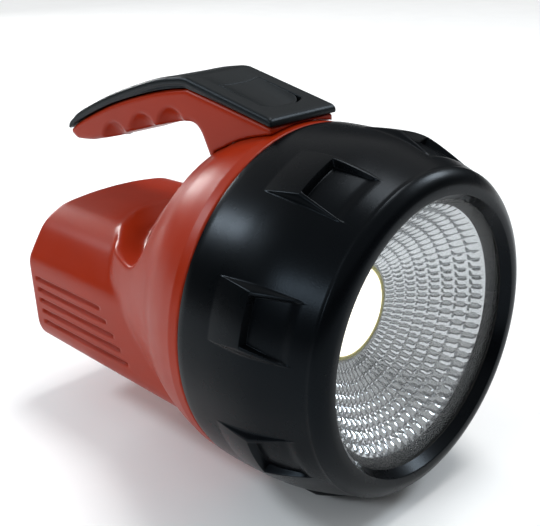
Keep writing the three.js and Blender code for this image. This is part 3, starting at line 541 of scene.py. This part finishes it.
def add_handle():
    arm_axes = (steps(-17, 17, 0.8), steps(1, 117, 0.8, ((2, 8),), 0.4), steps(38, 70, 0.6))
    points, faces = skin(arm_field, arm_axes)
    piece("handle_grip", points, faces, "housing", "red_plastic", ["handle_arm"])
    edges = ((-16.4, -14.6), (14.6, 16.4))
    cover_axes = (steps(-17, 17, 0.5, edges, 0.25), steps(1, 116, 0.7, ((8, 16),), 0.3), steps(42, 74, 0.35))
    points, faces = skin(cover_field, cover_axes)
    piece("grip_cover", points, faces, "housing", "grip_black", ["handle_cover"])
    button_axes = (steps(-11, 11, 0.3), steps(9, 35, 0.3), steps(58, 76, 0.3))
    points, faces = skin(button_field, button_axes)
    piece("thumb_pad", points, faces, "thumb_button", "grip_black", ["switch_button"])


# ---------------------------------------------------------------- bezel

barrel_line = Line(BARREL[::-1])


def wall_offset(y):
    """Half the width of a grip notch at y, from its middle to the inner edge of its side wall."""
    ys, halves = zip(*TOP_HALF_WIDTH)
    return np.interp(y, ys, halves)


def notch_relief(y, offset):
    """How far a grip notch stands above the barrel at y, offset millimetres to the side of its middle: a
    wedge that rises to a crest, with a pocket ahead of the crest between two walls that fall away forward."""
    side = np.abs(offset)
    ys, heights = zip(*WEDGE[::-1])
    height = np.interp(y, ys, heights)
    ys, feet = zip(*FOOT_HALF_WIDTH)
    inner = wall_offset(y)
    foot = np.interp(y, ys, feet)
    raised = height * rise((foot - side) / np.maximum(foot - inner - 0.5, 0.4))
    floor = -0.75 * rise((y - WEDGE_END_Y) / 4)
    inside = rise((inner - side) / 0.5) * rise((CREST_Y - y) / 0.45)
    return raised + (np.minimum(floor, raised) - raised) * inside


def bezel_columns(ys):
    """Angles of the bezel's columns at each row, and each one's distance from the middle of its notch. They
    stand closer together at the walls of the notches, and follow the walls as the notches widen."""
    near = np.concatenate([np.arange(0, 6.2, 1.1), np.arange(6.2, 8.6, FINE_STEP), np.arange(8.6, 11.6, 0.3),
                           np.linspace(12, HALF_PITCH, 9)])
    stops = np.array([0, 6.2, 8.2, 13, HALF_PITCH])
    follow = np.array([0, 1, 1, 0.3, 0])
    narrowest = TOP_HALF_WIDTH[1][1]
    rows = [np.interp(near, stops, stops + f * follow) for f in wall_offset(ys) - narrowest]
    half = np.array(rows)
    sector = np.concatenate([-half[:, ::-1], half[:, 1:-1]], 1)
    starts = math.radians(NOTCH_FIRST) + np.arange(NOTCH_COUNT) * 2 * math.pi / NOTCH_COUNT
    turn = sector / HALF_PITCH * math.pi / NOTCH_COUNT
    angles = starts[None, :, None] + turn[:, None, :]
    return angles.reshape(len(ys), -1), np.tile(sector, (1, NOTCH_COUNT))


def add_bezel():
    """The screw-on ring, as rows of points from its rear edge over the outside and back through the bore."""
    ys = np.concatenate([np.linspace(0, -12, 9), np.linspace(-12.8, -14.4, 5), np.linspace(-15, -25.8, 12),
                         np.arange(-26.3, -27.8, -FINE_STEP), np.linspace(-28.2, -46.5, 24)])
    rim = [(53.42, -46.9), (53.3, -47.3), (52.6, -48.2), (51.5, -49.25), (50.1, -50.1), (48.9, -50.55),
           (48.2, -50.7), (46.0, -50.7), (45.75, -50.6), (45.6, -50.35), (44.0, -47.8), (43.8, -47.5),
           (44.2, -47.5), (50.4, -47.5), (50.6, -47.3), (50.6, -20), (51.4, -19), (BEZEL_BORE, -16.5),
           (BEZEL_BORE, -16.0)]
    thread = [(BEZEL_BORE - 0.5 * (i % 2), -15 + THREAD_PITCH / 4 * i) for i in range(12)]
    rear = [(BEZEL_BORE, -3), (BEZEL_BORE, -0.4), (56.7, 0), (59.3, 0.0)]
    inner = np.array(rim + thread + rear)
    angles, offsets = bezel_columns(np.concatenate([ys, np.full(len(inner), ys[-1])]))
    base = barrel_line.at(ys)
    outer = base[:, None] + notch_relief(ys[:, None], offsets[:len(ys)])
    outer[0] -= 0.35
    radii = np.vstack([outer, np.repeat(inner[:, :1], angles.shape[1], 1)])
    radii[len(ys)] = np.minimum(radii[len(ys)], radii[len(ys) - 1] + 0.05)
    settled = np.linspace(0, 1, len(rim))[:, None]
    regular = bezel_columns(np.zeros(1))[0]
    end = len(ys) + len(rim)
    angles[len(ys):end] = angles[len(ys):end] * (1 - settled) + regular * settled
    angles[end:] = regular
    points = turned(radii, np.concatenate([ys, inner[:, 1]]), angles)
    piece("grip_bezel", points, ring_faces(*radii.shape), "bezel", "black_plastic", ["bezel_ring"],
          auto_smooth=40)


# ---------------------------------------------------------------- optics

def bowl_y(radius):
    """The parabola of the reflector."""
    return HUB_Y - (radius**2 - HUB_RADIUS**2) / (4 * FOCUS)


def add_reflector():
    """A bowl pressed into rings of small pillows, each a facet that throws its own patch of light."""
    rows, columns, fine = 8, 72, 8
    along = np.linspace(0, 1, rows * fine + 1)
    radius = HUB_RADIUS + (RIM_RADIUS - HUB_RADIUS) * along
    angles = np.arange(columns * fine) / (columns * fine) * 2 * math.pi
    u = (along * rows) % 1
    u[-1] = 0
    v = (angles * columns / (2 * math.pi)) % 1
    bulge = 4 * u * (1 - u) * (0.8 + 0.4 * u)
    pillow = bulge[:, None] ** 0.5 * (4 * v * (1 - v))[None, :]
    height = PILLOW_HEIGHT * (0.6 + 0.5 * along)[:, None] * pillow
    slope = radius / (2 * FOCUS)
    length = np.sqrt(1 + slope**2)
    radii = radius[:, None] - height * (slope / length)[:, None]
    ys = bowl_y(radius)[:, None] - height * (1 / length)[:, None]
    front = turned(radii, ys, angles)
    flange_y = bowl_y(RIM_RADIUS)
    rest = [(41.5, flange_y - 0.25), (42, flange_y), (49.6, flange_y), (LENS_RADIUS, flange_y + 0.2),
            (LENS_RADIUS, flange_y + 1.5), (43.2, flange_y + 1.6)]
    back = [(r + 0.9, bowl_y(r) + 1.9) for r in (40, 34, 28, 22, 17.9)]
    rest = np.array(rest + back)
    behind = turned(np.repeat(rest[:, :1], len(angles), 1), rest[:, 1], angles)
    points = np.vstack([front, behind])
    faces = ring_faces(len(radius) + len(rest), len(angles))[:, ::-1]
    piece("reflector_bowl", points, faces, "optics", "mirror_coat", ["reflector"], auto_smooth=35)


def add_lens():
    """A clear disc with a rounded front edge."""
    front, rear = -46.4, -43.5
    profile = [(0.01, front), (12, front), (30, front), (49.2, front), (49.65, front + 0.15),
               (LENS_RADIUS, front + 0.5), (LENS_RADIUS, rear - 0.4), (49.4, rear), (30, rear), (12, rear),
               (0.01, rear)]
    profile = np.array(profile)
    angles = np.arange(144) / 144 * 2 * math.pi
    points = turned(np.repeat(profile[:, :1], len(angles), 1), profile[:, 1], angles)
    faces = ring_faces(len(profile), len(angles))[:, ::-1]
    piece("front_lens", points, faces, "optics", "clear_lens", ["lens"], auto_smooth=30)


add_body()
add_handle()
add_bezel()
add_reflector()
add_lens()

# ---------------------------------------------------------------- pieces that keep their CAD shape

for part in frame["record"]["subparts"]:
    mesh = frame["nodes"][part["node"]].data
    mesh.materials[0] = FINISHES[part["material_slot"]]
    mesh.set_sharp_from_angle(angle=math.radians(32))

# ---------------------------------------------------------------- floor, light and camera

FLOOR_Z = -0.0606
FLOOR_REACH = 6
LAMP_MIDDLE = (0, -0.08, 0)
COOL_WHITE = (0.85, 0.93, 1)
CAMERA_PLACE = (-0.2176, -0.3045, 0.1259)
CAMERA_HEADING, CAMERA_DOWN, CAMERA_ROLL = -45.5, 23.06, -0.68  # degrees


def add_floor():
    mesh = bpy.data.meshes.new("floor")
    corners = [(-1, -1), (1, -1), (1, 1), (-1, 1)]
    mesh.from_pydata([(x * FLOOR_REACH, y * FLOOR_REACH, FLOOR_Z) for x, y in corners], [], [(0, 1, 2, 3)])
    floor = bpy.data.objects.new("floor", mesh)
    bpy.context.scene.collection.objects.link(floor)
    floor.data.materials.append(finish("floor_paint", "fbfbfa", "f8f8f7", 0.9, grain=60, bump=0.02))


def add_light(name, azimuth, elevation, distance, size, brightness, tint=(1, 1, 1)):
    """A round soft light. Azimuth 0 is in front of the lens and 90 is towards +X."""
    around, up = math.radians(azimuth), math.radians(elevation)
    away = Vector((math.sin(around) * math.cos(up), -math.cos(around) * math.cos(up), math.sin(up)))
    light = bpy.data.lights.new(name, "AREA")
    light.shape = "DISK"
    light.size = size
    light.energy = brightness * math.pi * math.pi * size * size / 4
    light.color = tint
    made = bpy.data.objects.new(name, light)
    made.location = Vector(LAMP_MIDDLE) + distance * away
    made.rotation_mode = "QUATERNION"
    made.rotation_quaternion = away.to_track_quat("Z", "Y")
    bpy.context.scene.collection.objects.link(made)


def add_sun(name, strength, spread, lean):
    """Light from overhead. Spread is how wide a patch of sky it comes from, and lean tilts it towards +X."""
    light = bpy.data.lights.new(name, "SUN")
    light.energy = strength
    light.angle = math.radians(spread)
    made = bpy.data.objects.new(name, light)
    made.rotation_euler = (0, math.radians(lean), 0)
    bpy.context.scene.collection.objects.link(made)


def add_world():
    world = bpy.data.worlds.new("studio")
    world.use_nodes = True
    world.node_tree.nodes["Background"].inputs["Color"].default_value = (0.8, 0.9, 1, 1)
    world.node_tree.nodes["Background"].inputs["Strength"].default_value = 0.06
    bpy.context.scene.world = world


def add_camera():
    data = bpy.data.cameras.new("camera")
    data.sensor_width = 36
    data.lens = 61.53
    data.shift_y = 0.0537
    data.clip_start, data.clip_end = 0.01, 30
    camera = bpy.data.objects.new("camera", data)
    heading = Matrix.Rotation(math.radians(CAMERA_HEADING), 4, "Z")
    pitch = Matrix.Rotation(math.radians(90 - CAMERA_DOWN), 4, "X")
    roll = Matrix.Rotation(math.radians(CAMERA_ROLL), 4, "Z")
    camera.matrix_world = Matrix.Translation(CAMERA_PLACE) @ (heading @ pitch @ roll)
    bpy.context.scene.collection.objects.link(camera)
    bpy.context.scene.camera = camera


add_floor()
add_world()
add_sun("sky", 1.1, 130, 0)
add_sun("key", 1.5, 22, 18)
add_light("rear_left", -147, 38, 1.2, 0.24, 36, COOL_WHITE)
add_light("left", -89, 31, 1.2, 0.2, 26, COOL_WHITE)
add_light("rear", 168, 17, 1.4, 0.25, 30)
add_light("right", 65, 35, 1.2, 0.3, 24, COOL_WHITE)
bpy.context.scene.view_settings.view_transform = "Standard"
add_camera()
